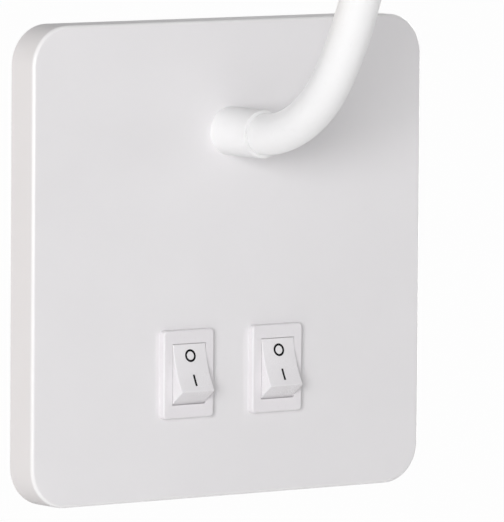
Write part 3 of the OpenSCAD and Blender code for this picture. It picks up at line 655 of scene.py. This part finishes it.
# meshes from grids of points
def gridMesh(name, points, material, uv=None, poles=(), sharp=35):
    # points is rows x columns x 3; both ways close on themselves, unless two poles cap the
    # first and the last row; edges steeper than sharp degrees stay sharp
    rows, cols = points.shape[:2]
    r = np.arange(rows - 1 if poles else rows)[:, None]
    c = np.arange(cols)[None, :]
    nextRow, nextCol = (r + 1) % rows, (c + 1) % cols
    corners = [r * cols + c, r * cols + nextCol, nextRow * cols + nextCol, nextRow * cols + c]
    faces = np.stack(corners, -1).reshape(-1, 4).tolist()
    verts = points.reshape(-1, 3)
    if poles:
        first, last = len(verts), len(verts) + 1
        verts = np.vstack([verts, np.array(poles)])
        low, high = c[0], (rows - 1) * cols + c[0]
        faces += np.stack([np.roll(low, -1), low, np.full(cols, first)], -1).tolist()
        faces += np.stack([high, np.roll(high, -1), np.full(cols, last)], -1).tolist()
    mesh = bpy.data.meshes.new(name)
    mesh.from_pydata(verts.tolist(), [], faces)
    if uv is not None:
        layer = mesh.uv_layers.new(name="along")
        index = np.empty(len(mesh.loops), np.int32)
        mesh.loops.foreach_get("vertex_index", index)
        layer.data.foreach_set("uv", uv.reshape(-1, 2)[index].astype(np.float32).ravel())
    mesh.validate()
    mesh.shade_smooth()
    mesh.set_sharp_from_angle(angle=math.radians(sharp))
    mesh.materials.append(material)
    o = bpy.data.objects.new(name, mesh)
    scene.collection.objects.link(o)
    return o


# the arm's skin: a tube along straight and circular runs, cut half way along each section, so
# # that each piece but the last holds one hinge and meets the next one ring to ring; only the last piece is
# attached to a body, the others stay fixed in place
armSkin = dict(radius=0.005, bore=0.0044, rise=0.0316, collarFront=0.042, inside=0.0095,
               rootRun=0.006, rootTurn=12.5, run=0.028, reach=0.0125,
               turns=(43.0, 16.0, 18.5, 0.0, 0.0, -32.0, -36.0, -36.0, -31.0, 0.0),
               step=0.0007, leastRings=8, around=72, patternLength=0.1)


def armRuns(s):
    # start of each run: distance, place outwards, height, angle; then its length and turn.
    # A start is the sum of the chords before it, and a chord is the run times the sinc of half its turn
    lengths = np.array([s["inside"], s["rootRun"]] + [s["run"]] * len(s["turns"]))
    turns = np.radians(np.array([0.0, s["rootTurn"]] + list(s["turns"])))

    def before(steps):
        return np.concatenate([[0.0], np.cumsum(steps)[:-1]])

    angle = before(turns)
    chord = lengths * np.sinc(turns / 2 / np.pi)
    return dict(begin=before(lengths) - s["inside"], angle=angle, length=lengths, turn=turns,
                out=s["collarFront"] - s["inside"] + before(chord * np.cos(angle + turns / 2)),
                up=s["rise"] + before(chord * np.sin(angle + turns / 2)))


def armLine(d, runs):
    # place and angle at distances d: each run is an arc, so its chord to d is d times the sinc
    # of half the turn so far
    k = np.clip(np.searchsorted(runs["begin"], d, side="right") - 1, 0, len(runs["begin"]) - 1)
    local = d - runs["begin"][k]
    turned = runs["turn"][k] * local / runs["length"][k]
    chord = local * np.sinc(turned / 2 / np.pi)
    heading = runs["angle"][k] + turned / 2
    place = np.stack([np.zeros_like(d), -(runs["out"][k] + chord * np.cos(heading)),
                      runs["up"][k] + chord * np.sin(heading)], -1)
    return place, runs["angle"][k] + turned


def armPiece(name, low, high, s, runs):
    # outer wall from low to high, then the inner wall back again: rows close on themselves
    n = max(s["leastRings"], int(round((high - low) / s["step"])))
    d = np.concatenate([np.linspace(low, high, n + 1), np.linspace(high, low, n + 1)])
    wide = np.concatenate([np.full(n + 1, s["radius"]), np.full(n + 1, s["bore"])])
    place, angle = armLine(d, runs)
    t = np.linspace(0, 2 * np.pi, s["around"], endpoint=False)
    side = np.array([1.0, 0.0, 0.0])
    lift = np.stack([np.zeros_like(angle), np.sin(angle), np.cos(angle)], -1)
    ring = np.cos(t)[None, :, None] * side + np.sin(t)[None, :, None] * lift[:, None, :]
    points = place[:, None, :] + wide[:, None, None] * ring
    uv = np.stack(np.broadcast_arrays(t[None, :] / (2 * np.pi), d[:, None] / s["patternLength"]), -1)
    return gridMesh(name, points, sleeveSilicone, uv)


def makeArm(s):
    runs = armRuns(s)
    hinge = runs["begin"][2:]  # distance of each hinge along the arm
    pins = [Vector(j["pos_m"]) for j in frame["joints"] if j["name"].startswith("bend_")]
    found = armLine(hinge, runs)[0]
    off = max((Vector(f) - p).length for f, p in zip(found, pins))
    print("arm line off the hinges by at most %.6f m" % off)
    total = hinge[-1] + s["run"]
    cuts = [-s["inside"]] + [h + s["run"] / 2 for h in hinge] + [total]
    bodies = ["base"] + ["arm_%d" % k for k in range(1, len(hinge) + 1)]
    for k in range(len(cuts) - 1):
        piece = armPiece("armSkin%d" % k, cuts[k], cuts[k + 1], s, runs)
        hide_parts("sleeve_%d" % k)
        if k < len(hinge):
            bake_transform(piece)
        else:
            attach(piece, bodies[k])


makeArm(armSkin)
print("arm skin made")


# the rockers: a rounded side outline with a hollow face, carried across and drawn in at both
# ends, with a pivot at each side
rockerShape = dict(half=0.00596, rise=0.00518, dip=0.0007, turn=19.5, foot=5.3, keel=36.0, wide=0.0098,
                   pivot=0.0011, pivotOut=0.0011, under=0.00003, longer=0.00014,
                   lip=0.00027, footRound=0.0006, keelRound=0.0005, edge=0.0002, inset=0.00025,
                   facePoints=15, faceBend=0.97, cornerPoints=7, edgePoints=7)


def softCorner(points, radii, count):
    # each corner of a closed outline becomes a circular arc of its own radius
    def unit(v):
        return v / np.linalg.norm(v, axis=1)[:, None]

    p, radius = np.array(points), np.array(radii)
    back, ahead = unit(np.roll(p, 1, 0) - p), unit(np.roll(p, -1, 0) - p)
    half = np.arccos(np.clip((back * ahead).sum(1), -1, 1)) / 2
    reach = (radius / np.tan(half))[:, None]
    centre = p + unit(back + ahead) * (radius / np.sin(half))[:, None]
    a, b = p + back * reach - centre, p + ahead * reach - centre
    swing = np.arccos(np.clip((unit(a) * unit(b)).sum(1), -1, 1))[:, None]
    t = np.linspace(0, 1, count)[None, :]
    fromA, fromB = np.sin((1 - t) * swing) / np.sin(swing), np.sin(t * swing) / np.sin(swing)
    arcs = centre[:, None, :] + fromA[..., None] * a[:, None, :] + fromB[..., None] * b[:, None, :]
    return arcs.reshape(-1, 2)


def rockerOutline(s):
    # the face is an arc through both lips and the bottom of the hollow, then the ends and the
    # keel in straight runs
    faceRadius = (s["half"] ** 2 + s["dip"] ** 2) / (2 * s["dip"])
    middle = s["rise"] - s["dip"] + faceRadius - s["under"]
    half = s["half"] + s["longer"]
    rise = middle - math.sqrt(faceRadius ** 2 - half ** 2)
    end = math.hypot(half, rise)
    foot, keel = math.radians(s["foot"]), math.radians(s["keel"])
    x = np.linspace(-half, half, s["facePoints"] + 2)
    face = np.stack([x, middle - np.sqrt(faceRadius ** 2 - x ** 2)], -1)
    right = end * np.array([(math.cos(foot), -math.sin(foot)), (math.cos(keel), -math.sin(keel))])
    left = right[::-1] * (-1, 1)
    radii = [s["lip"]] + [s["faceBend"] * faceRadius] * s["facePoints"] + [s["lip"]]
    radii += [s["footRound"], s["keelRound"], s["keelRound"], s["footRound"]]
    return softCorner(np.vstack([face, right, left]), radii, s["cornerPoints"])


def makeRocker(name, place, body, s):
    # rows run across from pivot to pivot: a pin, a flat side, the outline drawn in along a
    # quarter circle, and the same again on the other side
    outline = rockerOutline(s)
    step = np.roll(outline, -1, 0) - np.roll(outline, 1, 0)
    inward = np.stack([step[:, 1], -step[:, 0]], -1) / np.linalg.norm(step, axis=1)[:, None]
    q = np.linspace(0, np.pi / 2, s["edgePoints"])
    half = s["wide"] / 2
    tip = half + s["pivotOut"]
    drawn = s["edge"] * (1 - np.sin(q))
    across = -half + s["edge"] * (1 - np.cos(q))
    drawn = np.concatenate([drawn, drawn[::-1]])
    across = np.concatenate([across, -across[::-1]])
    sides = outline[None] + inward[None] * drawn[:, None, None]
    way = np.arctan2(outline[:, 1], outline[:, 0])
    pin = np.stack([np.cos(way), np.sin(way)], -1)[None] * s["pivot"]
    flat = (outline + inward * s["inset"])[None]  # a ring just inside the edge keeps each side flat
    rows = np.concatenate([pin, pin, flat, sides, flat, pin, pin])
    x = np.concatenate([[-tip, -half, -half], across, [half, half, tip]])
    turn = math.radians(-s["turn"])
    c, n = math.cos(turn), math.sin(turn)
    up, out = rows[..., 0] * c - rows[..., 1] * n, rows[..., 0] * n + rows[..., 1] * c
    points = np.stack([np.broadcast_to(x[:, None], up.shape) + place[0], place[1] - out, place[2] + up], -1)
    points = points[:, ::-1]  # round the other way, so that the faces point outwards
    poles = [(place[0] + e, place[1], place[2]) for e in (-tip, tip)]
    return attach(gridMesh(name, points, rockerGloss, poles=poles), body)


hinges = {j["name"]: j["pos_m"] for j in frame["joints"]}
for rockerName, rockerJoint, rockerBody, rockerNode in (
        ("rockerLeft", "left_rocker", "rocker_left", "rocker_l"),
        ("rockerRight", "right_rocker", "rocker_right", "rocker_r")):
    made = makeRocker(rockerName, hinges[rockerJoint], rockerBody, rockerShape)
    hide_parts(rockerNode)
print("rockers made")


# plugs that close the outer ends of the pivot bores in the switch frames
plugShape = dict(radius=0.00117, sunk=-0.02795, near=0.0064, far=0.00758, points=13)


def makePlug(name, place, side, s):
    # a segment of a circle about the hinge, cut off by a chord just under the cover's front and
    # carried along the hinge from near to far
    reach = math.acos((place[1] - s["sunk"]) / s["radius"])
    a = np.linspace(reach, -reach, s["points"])
    y, z = place[1] - s["radius"] * np.cos(a), place[2] + s["radius"] * np.sin(a)
    x = np.sort(place[0] + side * np.array([s["near"], s["far"]]))
    points = np.stack(np.broadcast_arrays(x[:, None], y[None], z[None]), -1)
    poles = [(e, y.mean(), z.mean()) for e in x]
    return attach(gridMesh(name, points, switchMould, poles=poles), "base")


for plugName, plugJoint, plugSide in (
        ("leftPlugA", "left_rocker", -1), ("leftPlugB", "left_rocker", 1),
        ("rightPlugA", "right_rocker", -1), ("rightPlugB", "right_rocker", 1)):
    plug = makePlug(plugName, hinges[plugJoint], plugSide, plugShape)
print("bore plugs made")
